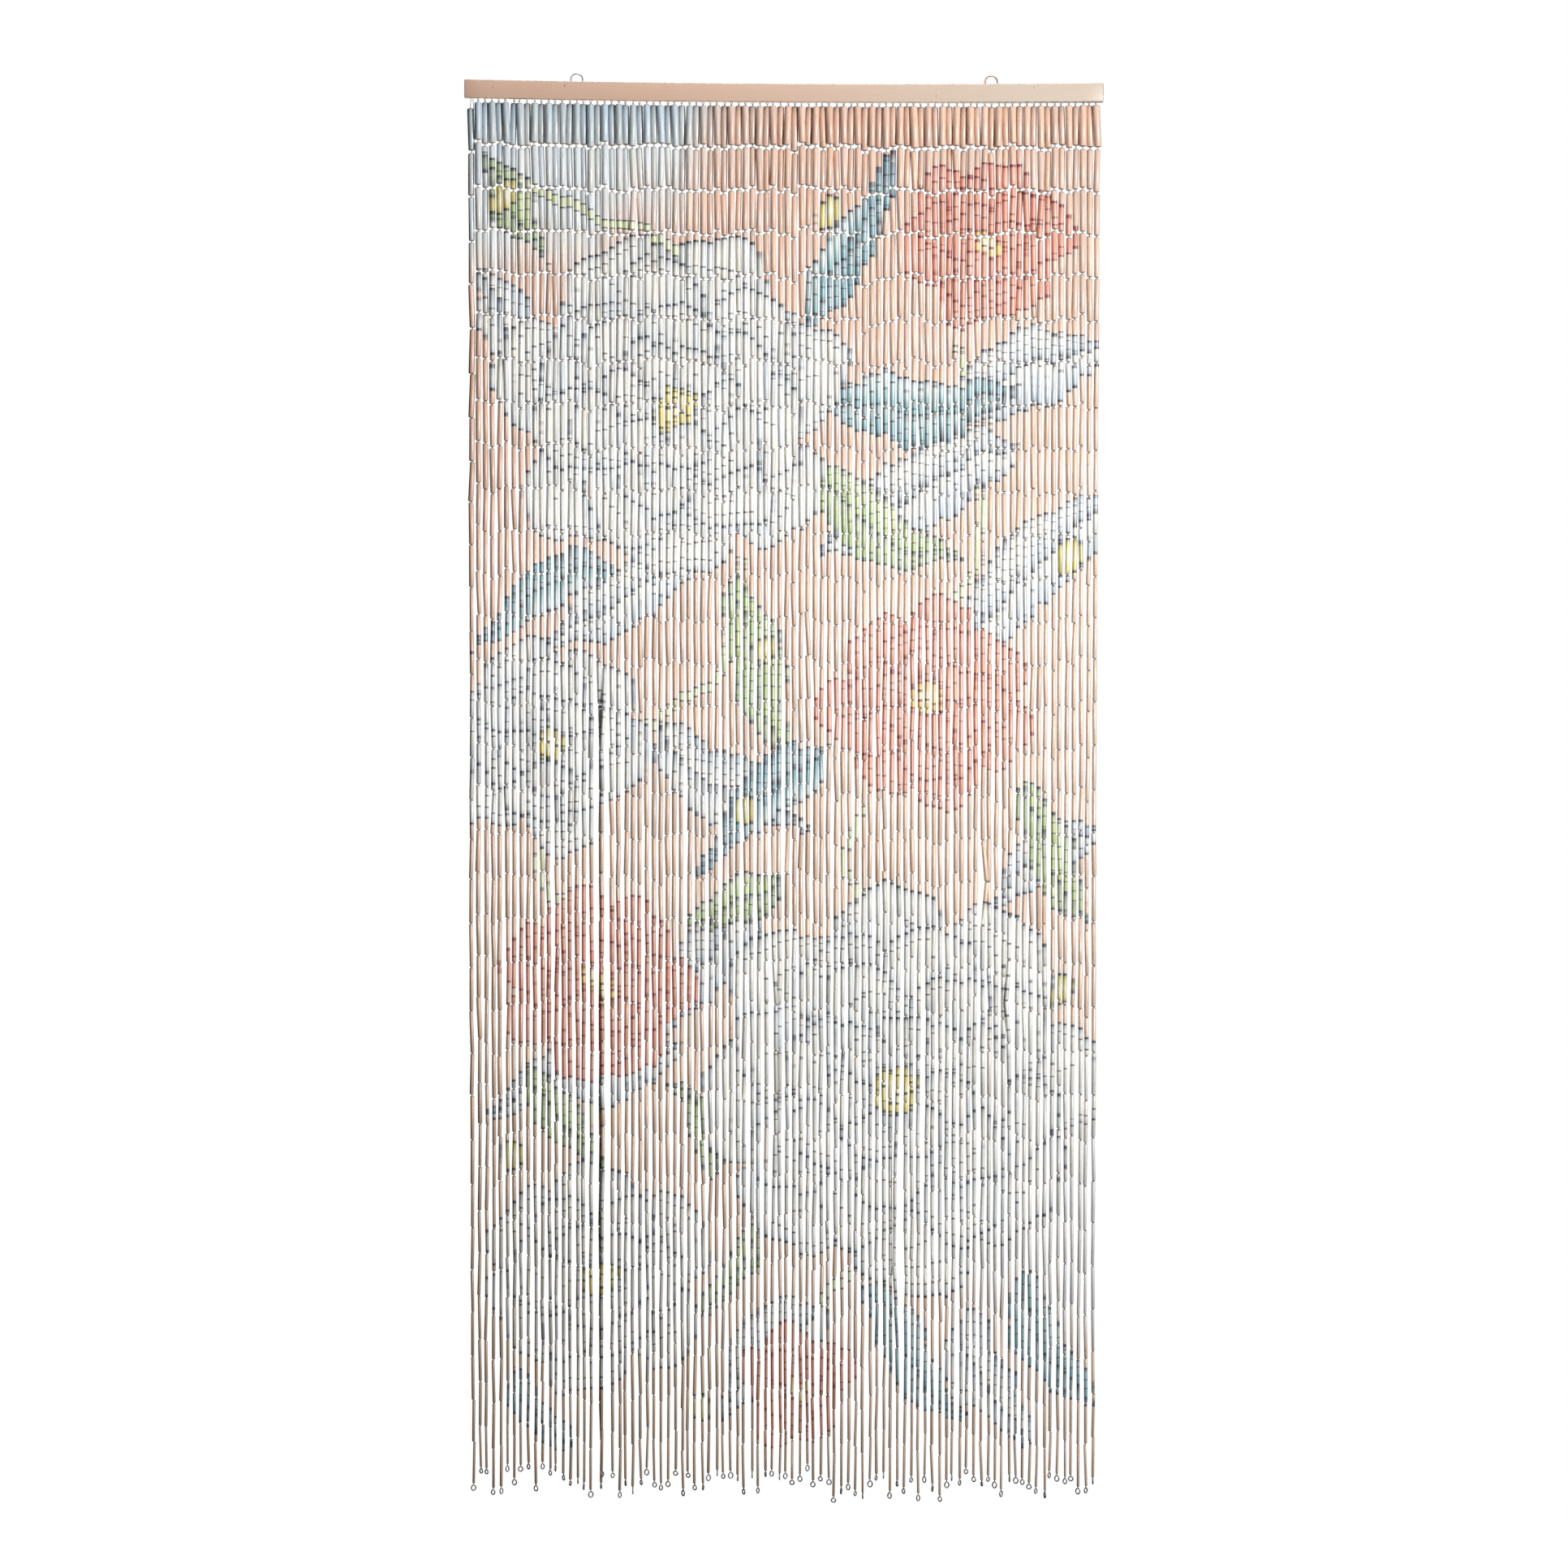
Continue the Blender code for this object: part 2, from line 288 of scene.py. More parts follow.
def paintBlossom(colour, across, down, blossom):
    x, z, radius, petals, rings, turn, family = blossom
    dx, dz = across - x, down - z
    reach = numpy.hypot(dx, dz) + 1e-6
    near = numpy.flatnonzero(reach < radius * 1.12)
    if not len(near):
        return
    dx, dz, reach = dx[near], dz[near], reach[near]
    part = colour[near]
    angle = numpy.arctan2(dz, dx)
    ink = "ink" if family == "white" else "coralInk"
    shade = "haze" if family == "white" else "coral"
    edges = []
    for ring in range(rings + 1):
        size = radius * (1.0 - ring / (rings + 0.55)) ** 0.9
        count = max(petals - ring // 2, 4)
        swing = angle * count / 2 + turn * 3 + ring * 1.7
        lobe = numpy.abs(numpy.cos(swing)) ** 0.55
        wave = brushwork["wobble"] * numpy.sin(angle * 5 + ring * 2 + turn * 9)
        edges.append((size * (0.74 + 0.26 * lobe + wave), count, swing))
    for ring in range(rings):
        edge, count, swing = edges[ring]
        inner = edges[ring + 1][0]
        distance = (reach - edge) * 0.92
        inside = numpy.clip(0.5 - distance, 0.0, 1.0)
        tint(part, inside, "white" if family == "white" else "coralLight")
        foot = numpy.exp(-numpy.clip(reach - inner, 0, None) / brushwork["haze"])
        tint(part, inside * (0.45 if family == "white" else 0.9) * foot, shade)
        # the seam between neighbouring petals, blown out on one side of it
        seam = (swing / math.pi + 0.5 + 0.2 * (edge - reach) / radius) % 1.0
        seam = numpy.where(seam > 0.5, seam - 1.0, seam) * 2 * math.pi / count * reach
        between = inside * (reach > inner * 0.96)
        tail = numpy.exp(-numpy.abs(seam) / brushwork["blown"]) * (seam > 0)
        tint(part, 0.55 * between * tail, "coralSoft" if family == "coral" else "inkSoft")
        tint(part, between * lineMask(seam, brushwork["line"]), ink)
        # veins that follow the petal's edge, and one in its middle
        for inset in (15, 36, 60):
            kept = numpy.sin(angle * (3 + ring) + inset) > -0.1
            tint(part, between * kept * 0.85 * lineMask(distance + inset, brushwork["thinLine"]), ink)
        middle = ((swing / math.pi + 0.5) % 1.0 - 0.5) * 2 * math.pi / count * reach
        short = (reach < inner + 0.55 * (edge - inner)) & (reach > inner)
        tint(part, 0.8 * short * lineMask(middle, brushwork["thinLine"]), ink)
        outline(part, distance, inside, family)
    heart = edges[rings][0] * 0.9
    tint(part, numpy.clip(heart - reach, 0.0, 1.0), "yellow")
    tint(part, 0.6 * numpy.clip(heart * 0.5 - reach, 0.0, 1.0), "white")
    outline(part, reach - heart, reach < heart, family)
    dots = (numpy.sin(dx * 0.55) * numpy.sin(dz * 0.45) > 0.55) & (reach < heart)
    tint(part, dots * 0.8, ink)
    colour[near] = part


def paintLeaf(colour, across, down, leaf):
    x0, z0, x1, z1, half, family = leaf
    length = math.hypot(x1 - x0, z1 - z0)
    ux, uz = (x1 - x0) / length, (z1 - z0) / length
    dx, dz = across - x0, down - z0
    along = dx * ux + dz * uz
    side = dz * ux - dx * uz
    near = numpy.flatnonzero((along > -4) & (along < length + 4) & (numpy.abs(side) < half * 1.6))
    if not len(near):
        return
    along, part = along[near], colour[near]
    s = numpy.clip(along / length, 0.0, 1.0)
    aside = side[near] - 0.35 * half * numpy.sin(s * math.pi)  # the leaf bends a little
    edge = half * numpy.sin(math.pi * s**0.8) ** 0.85 * (1 + 0.05 * numpy.sin(along * 0.21))
    distance = numpy.abs(aside) - edge
    inside = numpy.clip(0.5 - distance, 0.0, 1.0) * (along > 0) * (along < length)
    tint(part, inside, family)
    wide = numpy.abs(aside) / half
    tint(part, inside * smoothstep(wide * 1.2) * (aside < 0), family + "Light")
    tint(part, inside * 0.7 * smoothstep(1.2 - wide * 1.6) * (aside > 0), family + "Light")
    tint(part, inside * 0.6 * numpy.exp(-numpy.abs(aside) / 6.0) * (aside > 0), "inkSoft")
    vein = ((along - numpy.abs(aside) * 0.9) / 19.0 + 0.5) % 1.0 - 0.5
    tint(part, inside * 0.85 * lineMask(vein * 19.0, brushwork["thinLine"]), "ink")
    tint(part, inside * lineMask(aside, brushwork["line"]), "ink")
    outline(part, distance, inside, family)
    colour[near] = part


def paintStem(colour, across, down, stem):
    x0, z0, x1, z1, x2, z2 = stem
    best = numpy.full(len(across), 1e9)
    for step in range(41):
        t = step / 40
        x = (1 - t) ** 2 * x0 + 2 * t * (1 - t) * x1 + t * t * x2
        z = (1 - t) ** 2 * z0 + 2 * t * (1 - t) * z1 + t * t * z2
        best = numpy.minimum(best, numpy.hypot(across - x, down - z))
    tint(colour, numpy.clip(6.0 - best, 0.0, 1.0), "greenLight")
    tint(colour, lineMask(best - 6.5, brushwork["thinLine"]), "ink")


def paintBud(colour, across, down, bud):
    x, z, radius = bud
    reach = numpy.hypot(across - x, (down - z) * 0.8)
    tint(colour, numpy.clip(radius - reach, 0.0, 1.0), "yellow")
    tint(colour, 0.8 * smoothstep(1.2 - reach / radius * 1.6), "white")
    outline(colour, reach - radius, reach < radius, "yellow")


def cloudMask(across, down, cloud, ragged):
    (x, z), (halfAcross, halfDown) = cloud["place"], cloud["half"]
    reach = numpy.hypot((across - x) / halfAcross, (down - z) / halfDown) + ragged
    return smoothstep((1.0 - reach) * cloud["firm"])


def paintedColours(across, down):
    # screen colours of the design at places given in millimetres
    # every edge wavers by some millimetres, as if drawn by hand
    wavyAcross = across + 7 * numpy.sin(down * 0.031 + across * 0.012)
    wavyAcross += 4 * numpy.sin(down * 0.083 + 1.0)
    wavyDown = down + 8 * numpy.sin(across * 0.034 + down * 0.009)
    wavyDown += 4 * numpy.sin(across * 0.089 + 2.0)
    across, down = wavyAcross, wavyDown
    colour = numpy.tile(numpy.array(paints["ground"]), (len(across), 1))
    pale = (down + 0.6 * across - fades["paleFrom"]) / fades["paleReach"]
    tint(colour, smoothstep(pale), "groundPale")
    high = cloudMask(across, down, clouds["high"], 0.06 * numpy.sin(across * 0.05))
    tint(colour, high, "sky")
    deep = smoothstep((fades["deepTo"] - down) / fades["deepReach"])
    tint(colour, fades["deepShare"] * deep * high, "skyDeep")
    tint(colour, fades["lowShare"] * cloudMask(across, down, clouds["low"], 0.0), "sky")
    for stem in stems:
        paintStem(colour, across, down, stem)
    for leaf in leaves:
        paintLeaf(colour, across, down, leaf)
    for blossom in blossoms:
        paintBlossom(colour, across, down, blossom)
    for bud in buds:
        paintBud(colour, across, down, bud)
    # painted shade: all the paint is darker and a little browner towards the lower left, where less of the
    # key light falls
    lowerLeftShade = smoothstep((down - across - fades["shadeFrom"]) / fades["shadeReach"])
    return colour * (1.0 - lowerLeftShade[:, None] * numpy.array(fades["shadeDepth"]))


def ringPlaces(samples):
    # where a bead's paint needs a ring of points: the ends, then wherever straight fades miss by most
    steps = numpy.arange(len(samples))
    places = [0, len(samples) - 1]
    while len(places) < brushwork["mostRings"]:
        guess = numpy.stack([numpy.interp(steps, places, samples[places, c]) for c in range(3)], 1)
        miss = numpy.abs(guess - samples).max(1)
        worst = int(miss.argmax())
        if miss[worst] < brushwork["tolerance"]:
            break
        places = sorted(places + [worst])
    return places


# shapes that repeat are modelled once with the tools below, then copied into joined meshes

def templateOf(obj):
    # points, faces' corners and their counts of a modelled shape
    mesh = obj.data
    points = numpy.array([v.co for v in mesh.vertices])
    totals = numpy.array([len(p.vertices) for p in mesh.polygons])
    corners = numpy.array([i for p in mesh.polygons for i in p.vertices])
    bpy.data.objects.remove(obj, do_unlink=True)
    return points, corners, totals


class Pile:
    # gathers copies of templates, then joins them in one mesh
    def __init__(self):
        self.points, self.corners, self.totals = [], [], []
        self.values = {}
        self.count = 0

    def add(self, points, corners, totals, **values):
        self.points.append(points)
        self.corners.append(corners + self.count)
        self.totals.append(totals)
        for name, value in values.items():
            self.values.setdefault(name, []).append(value)
        self.count += len(points)

    def join(self, name, material):
        points = numpy.concatenate(self.points).astype(numpy.float32)
        corners = numpy.concatenate(self.corners).astype(numpy.int32)
        totals = numpy.concatenate(self.totals)
        starts = numpy.concatenate([[0], numpy.cumsum(totals)[:-1]]).astype(numpy.int32)
        mesh = bpy.data.meshes.new(name)
        mesh.vertices.add(len(points))
        mesh.vertices.foreach_set("co", points.ravel())
        mesh.loops.add(len(corners))
        mesh.loops.foreach_set("vertex_index", corners)
        mesh.polygons.add(len(totals))
        mesh.polygons.foreach_set("loop_start", starts)
        mesh.update(calc_edges=True)
        mesh.shade_smooth()
        for key, parts in self.values.items():
            values = numpy.concatenate(parts).astype(numpy.float32)
            if values.ndim == 2:
                values = numpy.concatenate([values, numpy.ones((len(values), 1), numpy.float32)], 1)
                layer = mesh.color_attributes.new(key, "FLOAT_COLOR", "POINT")
                layer.data.foreach_set("color", values.ravel())
            else:
                mesh.attributes.new(key, "FLOAT", "POINT").data.foreach_set("value", values)
        mesh.validate()
        mesh.materials.append(material)
        obj = bpy.data.objects.new(name, mesh)
        bpy.context.scene.collection.objects.link(obj)
        return obj


# finishes

def addNode(tree, kind, inputs=None, **settings):
    made = tree.nodes.new(kind)
    for key, value in settings.items():
        setattr(made, key, value)
    for key, value in (inputs or {}).items():
        if isinstance(value, bpy.types.NodeSocket):
            tree.links.new(value, made.inputs[key])
        else:
            made.inputs[key].default_value = value
    return made


def mixColour(tree, share, first, second):
    made = addNode(tree, "ShaderNodeMix", data_type="RGBA")
    for socket, value in ((made.inputs[0], share), (made.inputs[6], first), (made.inputs[7], second)):
        if isinstance(value, bpy.types.NodeSocket):
            tree.links.new(value, socket)
        elif isinstance(value, tuple):
            socket.default_value = (*linear(value), 1.0)
        else:
            socket.default_value = value
    return made.outputs[2]


def mathOf(tree, operation, first, second=0.0, third=0.0):
    return addNode(tree, "ShaderNodeMath", {0: first, 1: second, 2: third}, operation=operation).outputs[0]


def ramp(tree, value, fromLow, fromHigh, toLow=0.0, toHigh=1.0):
    inputs = {"Value": value, "From Min": fromLow, "From Max": fromHigh, "To Min": toLow, "To Max": toHigh}
    return addNode(tree, "ShaderNodeMapRange", inputs, interpolation_type="SMOOTHSTEP").outputs[0]


def attribute(tree, name):
    return addNode(tree, "ShaderNodeAttribute", attribute_type="GEOMETRY", attribute_name=name)


def makeStreaks():
    # noise drawn out along one direction: wood fibres, brush marks, drawn wire
    tree = bpy.data.node_groups.new("streaks", "ShaderNodeTree")
    tree.interface.new_socket(name="Stretch", in_out="INPUT", socket_type="NodeSocketVector")
    for name in ("Scale", "Detail"):
        tree.interface.new_socket(name=name, in_out="INPUT", socket_type="NodeSocketFloat")
    tree.interface.new_socket(name="Mask", in_out="OUTPUT", socket_type="NodeSocketFloat")
    entry = tree.nodes.new("NodeGroupInput")
    leave = tree.nodes.new("NodeGroupOutput")
    place = addNode(tree, "ShaderNodeTexCoord")
    drawn = addNode(tree, "ShaderNodeVectorMath", {0: place.outputs["Object"], 1: entry.outputs["Stretch"]},
                    operation="MULTIPLY")
    noise = addNode(tree, "ShaderNodeTexNoise", {
        "Vector": drawn.outputs[0], "Scale": entry.outputs["Scale"], "Detail": entry.outputs["Detail"],
        "Roughness": 0.6})
    spread = addNode(tree, "ShaderNodeMapRange", {
        "Value": noise.outputs[0], "From Min": 0.25, "From Max": 0.75})
    tree.links.new(spread.outputs[0], leave.inputs["Mask"])
    return tree


streaks = makeStreaks()


def streakMask(tree, stretch, scale, detail=2.0):
    made = addNode(tree, "ShaderNodeGroup", node_tree=streaks)
    made.inputs["Stretch"].default_value = stretch
    made.inputs["Scale"].default_value = scale
    made.inputs["Detail"].default_value = detail
    return made.outputs["Mask"]


def newMaterial(name):
    material = bpy.data.materials.new(name)
    material.use_nodes = True
    return material, material.node_tree, material.node_tree.nodes["Principled BSDF"]


def bumpOf(tree, height, strength, distance):
    inputs = {"Height": height, "Strength": strength, "Distance": distance}
    return addNode(tree, "ShaderNodeBump", inputs).outputs[0]


beadFinish = {
    "fibre": (0.70, 0.61, 0.53), "fibreDark": (0.40, 0.32, 0.27), "wearLength": 0.005, "wearMost": 0.45,
    "streakShade": 0.16, "scuffShare": 0.735, "roughness": (0.36, 0.50), "gloss": 1.0, "bump": 0.30,
}


def makeBeadPaint():
    material, tree, shader = newMaterial("beadPaint")
    paint = attribute(tree, "paint").outputs["Color"]
    along = attribute(tree, "along").outputs["Fac"]
    tone = attribute(tree, "tone").outputs["Fac"]
    fibres = streakMask(tree, (1.0, 1.0, 0.03), 1100.0, 3.0)
    brush = streakMask(tree, (1.0, 1.0, 0.10), 260.0, 2.0)
    patches = streakMask(tree, (1.0, 1.0, 0.35), 420.0, 4.0)
    shade = ramp(tree, fibres, 0.15, 0.85, 1.0, 1.0 - beadFinish["streakShade"])
    shade = mathOf(tree, "MULTIPLY", shade, ramp(tree, brush, 0.0, 1.0, 1.04, 0.95))
    shade = mathOf(tree, "MULTIPLY", shade, tone)
    shaded = addNode(tree, "ShaderNodeVectorMath", {0: paint, "Scale": shade}, operation="SCALE").outputs[0]
    fibre = mixColour(tree, ramp(tree, fibres, 0.2, 0.8), beadFinish["fibre"], beadFinish["fibreDark"])
    # how far a point is from the nearer end, as a share of the bead
    fromEnd = mathOf(tree, "SUBTRACT", 0.5, mathOf(tree, "ABSOLUTE", mathOf(tree, "SUBTRACT", along, 0.5)))
    ragged = mathOf(tree, "MULTIPLY", patches, beadFinish["wearLength"])
    worn = ramp(tree, mathOf(tree, "SUBTRACT", fromEnd, ragged), -0.030, -0.005, 1.0, 0.0)
    worn = mathOf(tree, "MULTIPLY", worn, ramp(tree, fromEnd, -0.02, 0.0, 1.0, beadFinish["wearMost"]))
    scuffed = ramp(tree, patches, beadFinish["scuffShare"], beadFinish["scuffShare"] + 0.10, 0.0, 0.35)
    bare = mathOf(tree, "MAXIMUM", worn, scuffed)
    colour = mixColour(tree, bare, shaded, fibre)
    low, high = beadFinish["roughness"]
    tree.links.new(colour, shader.inputs["Base Color"])
    rough = ramp(tree, mathOf(tree, "MAXIMUM", fibres, bare), 0.0, 1.0, low, high)
    tree.links.new(rough, shader.inputs["Roughness"])
    shader.inputs["Specular IOR Level"].default_value = beadFinish["gloss"]
    height = mathOf(tree, "SUBTRACT", fibres, mathOf(tree, "MULTIPLY", bare, 0.8))
    tree.links.new(bumpOf(tree, height, beadFinish["bump"], 0.00012), shader.inputs["Normal"])
    return material


wireFinish = {
    "roughness": (0.34, 0.60), "metallic": (0.80, 0.55), "bump": 0.15,
    "linkSteel": {"bright": (0.40, 0.39, 0.38), "dull": (0.24, 0.23, 0.22)},
    "loopSteel": {"bright": (0.78, 0.78, 0.77), "dull": (0.60, 0.59, 0.58)},
    "loopBrass": {"bright": (0.78, 0.68, 0.62), "dull": (0.60, 0.49, 0.43)},
    "eyeSteel": {"bright": (0.70, 0.69, 0.68), "dull": (0.47, 0.46, 0.45)},
}


def makeWireSteel(name):
    material, tree, shader = newMaterial(name)
    drawn = streakMask(tree, (1.0, 1.0, 0.25), 1800.0, 2.0)
    stain = streakMask(tree, (1.0, 1.0, 1.0), 240.0, 3.0)
    bright, dull = wireFinish[name]["bright"], wireFinish[name]["dull"]
    colour = mixColour(tree, ramp(tree, stain, 0.35, 0.85), bright, dull)
    tree.links.new(colour, shader.inputs["Base Color"])
    rough = ramp(tree, mathOf(tree, "MAXIMUM", stain, drawn), 0.0, 1.0, *wireFinish["roughness"])
    tree.links.new(rough, shader.inputs["Roughness"])
    tree.links.new(ramp(tree, stain, 0.4, 0.9, *wireFinish["metallic"]), shader.inputs["Metallic"])
    tree.links.new(bumpOf(tree, drawn, wireFinish["bump"], 0.00005), shader.inputs["Normal"])
    return material


battenFinish = {
    "paint": (0.885, 0.748, 0.660), "paintDark": (0.870, 0.722, 0.630), "wood": (0.58, 0.43, 0.32),
    # painted sheen: the paler, whiter paint towards the right end stands in for the key light's broad
    # reflection there
    "paintedSheen": (0.815, 0.758, 0.695), "dust": (0.45, 0.40, 0.37), "roughness": (0.40, 0.52), "gloss": 1.0,
    "sheenAlong": (-0.25, 0.45), "sheenMost": 0.9,
    "knocks": ((-0.4106, 0.0038, -0.0176, 0.0012), (-0.309, 0.0045, -0.0157, 0.0018),
               (0.214, 0.003, -0.0300, 0.0013), (0.352, 0.004, -0.0185, 0.0010)),  # x, tall, z, wide
}


def makeBattenPaint():
    material, tree, shader = newMaterial("battenPaint")
    grain = streakMask(tree, (0.035, 1.0, 1.0), 900.0, 4.0)
    brush = streakMask(tree, (1.0, 0.05, 0.05), 150.0, 3.0)
    cloud = streakMask(tree, (1.0, 1.0, 1.0), 22.0, 2.0)
    blotch = streakMask(tree, (1.0, 1.0, 1.0), 260.0, 3.0)
    worn = attribute(tree, "worn").outputs["Fac"]
    share = mathOf(tree, "MULTIPLY_ADD", brush, 0.45, mathOf(tree, "MULTIPLY", cloud, 0.45))
    colour = mixColour(tree, share, battenFinish["paint"], battenFinish["paintDark"])
    place = addNode(tree, "ShaderNodeTexCoord").outputs["Object"]
    parts = addNode(tree, "ShaderNodeSeparateXYZ", {0: place})
    # painted sheen: the paint turns paler and whiter along the batten towards its right end, where the key
    # light falls
    paintedSheen = ramp(tree, parts.outputs["X"], *battenFinish["sheenAlong"], 0.0, battenFinish["sheenMost"])
    colour = mixColour(tree, paintedSheen, colour, battenFinish["paintedSheen"])
    colour = mixColour(tree, ramp(tree, grain, 0.55, 1.0, 0.0, 0.16), colour, battenFinish["wood"])
    edge = mathOf(tree, "MULTIPLY", ramp(tree, worn, 0.35, 1.0), ramp(tree, blotch, 0.35, 0.65, 0.15, 0.85))
    colour = mixColour(tree, edge, colour, battenFinish["dust"])
    knocked = None
    for x, tall, z, wide in battenFinish["knocks"]:
        across = mathOf(tree, "DIVIDE", mathOf(tree, "SUBTRACT", parts.outputs["X"], x), wide / 2)
        up = mathOf(tree, "DIVIDE", mathOf(tree, "SUBTRACT", parts.outputs["Z"], z), tall / 2)
        square = mathOf(tree, "MULTIPLY", up, up)
        square = mathOf(tree, "ADD", mathOf(tree, "MULTIPLY", across, across), square)
        spot = ramp(tree, square, 0.3, 1.3, 1.0, 0.0)
        knocked = spot if knocked is None else mathOf(tree, "MAXIMUM", knocked, spot)
    colour = mixColour(tree, mathOf(tree, "MULTIPLY", knocked, 0.75), colour, battenFinish["dust"])
    shader.inputs["Specular IOR Level"].default_value = battenFinish["gloss"]
    low, high = battenFinish["roughness"]
    tree.links.new(colour, shader.inputs["Base Color"])
    tree.links.new(ramp(tree, grain, 0.0, 1.0, low, high), shader.inputs["Roughness"])
    dents = mathOf(tree, "MULTIPLY", knocked, 2.5)
    height = mathOf(tree, "SUBTRACT", mathOf(tree, "MULTIPLY", grain, 0.25), dents)
    tree.links.new(bumpOf(tree, height, 0.5, 0.0002), shader.inputs["Normal"])
    return material


beadPaint = makeBeadPaint()
linkSteel = makeWireSteel("linkSteel")
loopSteel = makeWireSteel("loopSteel")
loopBrass = makeWireSteel("loopBrass")
eyeSteel = makeWireSteel("eyeSteel")
battenPaint = makeBattenPaint()
print("finishes made")


# the beads

# seeds of the random draws, to which each strand's number is added
draws = {"plan": 1000, "paint": 3000, "links": 5000, "hooks": 7000, "eyes": 9000}

bead = {
    "sides": 8, "rim": 0.24, "wall": 0.28, "easing": 0.0013, "topRadius": 0.00510,
    "full": ((0, 1.05), (4, 1.06), (9, 1.12), (15, 1.21), (21, 1.18), (25, 1.02), (28, 0.94), (32, 0.92)),
    "uneven": 0.070, "unevenTop": 0.035, "unevenMost": 0.115, "taper": 0.035, "oval": 0.03,
    "gapTop": 0.0042, "gapEnd": 0.0007, "gapFade": 4.0, "gapSpread": 0.0004, "gapLeast": 0.0004,
    "askew": 0.00042, "askewTop": 0.00055, "firstAskew": -0.0009, "tone": 0.05, "warmth": 0.02,
    "slip": 0.0022,
}

beadShapes = {}


def modelBead(bands):
    # a bamboo tube of unit radius and length, cut into bands for the paint, with a bore
    deselectAll()
    bpy.ops.mesh.primitive_cylinder_add(vertices=bead["sides"], radius=1.0, depth=1.0, end_fill_type="NGON")
    obj = bpy.context.active_object
    bpy.ops.object.mode_set(mode="EDIT")
    for band in range(1, bands):
        bpy.ops.mesh.select_all(action="SELECT")
        bpy.ops.mesh.bisect(plane_co=(0, 0, band / bands - 0.5), plane_no=(0, 0, 1))
    bpy.ops.mesh.select_mode(type="FACE")
    selectWhere(obj, "polygons", lambda face: abs(face.normal.z) > 0.9)
    bpy.ops.mesh.inset(thickness=bead["rim"])
    bpy.ops.mesh.inset(thickness=bead["wall"])
    bpy.ops.mesh.delete(type="ONLY_FACE")
    bpy.ops.mesh.select_mode(type="EDGE")
    inner = 1.0 - bead["rim"] - bead["wall"] * 0.5
    points = obj.data.vertices
    selectWhere(obj, "edges", lambda edge: all(points[i].co.xy.length < inner for i in edge.vertices))
    bpy.ops.mesh.bridge_edge_loops()
    bpy.ops.mesh.select_all(action="SELECT")
    bpy.ops.mesh.normals_make_consistent(inside=False)
    bpy.ops.object.mode_set(mode="OBJECT")
    return templateOf(obj)


def layBead(pile, top, end, radius, samples, chance):
    # one bead from its top to its end, with rings of points where its paint changes
    places = ringPlaces(samples)
    bands = len(places) - 1
    if bands not in beadShapes:
        beadShapes[bands] = modelBead(bands)
    points, corners, totals = beadShapes[bands]
    length = (end - top).length
    axis = (end - top) / length
    right = axis.cross(Vector((0, 1, 0))).normalized()
    back = right.cross(axis)
    reach = numpy.hypot(points[:, 0], points[:, 1])
    outer = reach > 1.0 - bead["rim"] / 2
    ring = numpy.rint((0.5 - points[:, 2]) * bands).astype(int)
    down = numpy.array(places)[ring] / places[-1]
    easing = bead["easing"] / length
    eased = numpy.where(outer, numpy.clip(down, easing, 1.0 - easing), down)
    taper = 1.0 + chance.uniform(-1, 1) * bead["taper"] * (eased - 0.5) * 2
    swell = radius * taper
    turn = chance.uniform(0, 2 * math.pi)
    oval = chance.uniform(-1, 1) * bead["oval"]
    across = (points[:, 0] * math.cos(turn) - points[:, 1] * math.sin(turn)) * swell * (1 + oval)
    depth = (points[:, 0] * math.sin(turn) + points[:, 1] * math.cos(turn)) * swell * (1 - oval)
    placed = numpy.array(top) + numpy.outer(eased * length, axis)
    placed += numpy.outer(across, right) + numpy.outer(depth, back)
    along = numpy.where(outer, down, numpy.where(down < 0.5, -0.05, 1.05))
    tone = 1.0 + chance.gauss(0, bead["tone"])
    warmth = chance.gauss(0, bead["warmth"])
    paint = samples[places][ring] * (1.0 + warmth, 1.0, 1.0 - 1.5 * warmth)
    pile.add(placed, corners, totals, paint=paint, along=along, tone=numpy.full(len(points), tone))


def beadPlan(strand):
    # where each bead starts and ends, its radius, and the middle of the link over it
    chance = random.Random(draws["plan"] + strand)
    joints = strandShapes[strand][0]
    plan = []
    for k in range(hang["beads"]):
        fade = math.exp(-k / bead["gapFade"])
        gap = bead["gapEnd"] + (bead["gapTop"] - bead["gapEnd"]) * fade
        gap = max(bead["gapLeast"], gap + chance.gauss(0, bead["gapSpread"]))
        top, low = joints[k], joints[k + 1]
        end = low + (top - low).normalized() * gap if k < hang["beads"] - 1 else low.copy()
        spread = bead["unevenTop"] if k < 3 else bead["uneven"]
        share = max(-bead["unevenMost"], min(bead["unevenMost"], chance.gauss(0, spread)))
        lean = bead["askewTop"] if k < 3 else bead["askew"]
        askew = Vector((chance.gauss(0, lean), chance.gauss(0, bead["askew"] / 2), 0))
        if strand == 0 and k == 0:
            askew = Vector((bead["firstAskew"], 0, 0))
        full = float(numpy.interp(k + 0.5, *zip(*bead["full"])))
        radius = bead["topRadius"] if k == 0 else beadRadius(k + 0.5) * full
        plan.append({"top": top + askew, "end": end - askew, "radius": radius * (1 + share)})
    return plan


plans = [beadPlan(strand) for strand in range(hang["strands"])]


def beadPile(strands):
    pile = Pile()
    for strand in strands:
        joints = strandShapes[strand][0]
        chance = random.Random(draws["paint"] + strand)
        slip = chance.gauss(0, bead["slip"])
        steps = numpy.arange(0, 2010, brushwork["step"])
        place = joints[0].x * 1000
        colours = linear(paintedColours(numpy.full(len(steps), place), steps + slip * 1000))
        for plan in plans[strand]:
            first = int((joints[0].z - plan["top"].z) * 1000)
            last = int((joints[0].z - plan["end"].z) * 1000) + 1
            layBead(pile, plan["top"], plan["end"], plan["radius"], colours[max(first, 0):last], chance)
    return pile


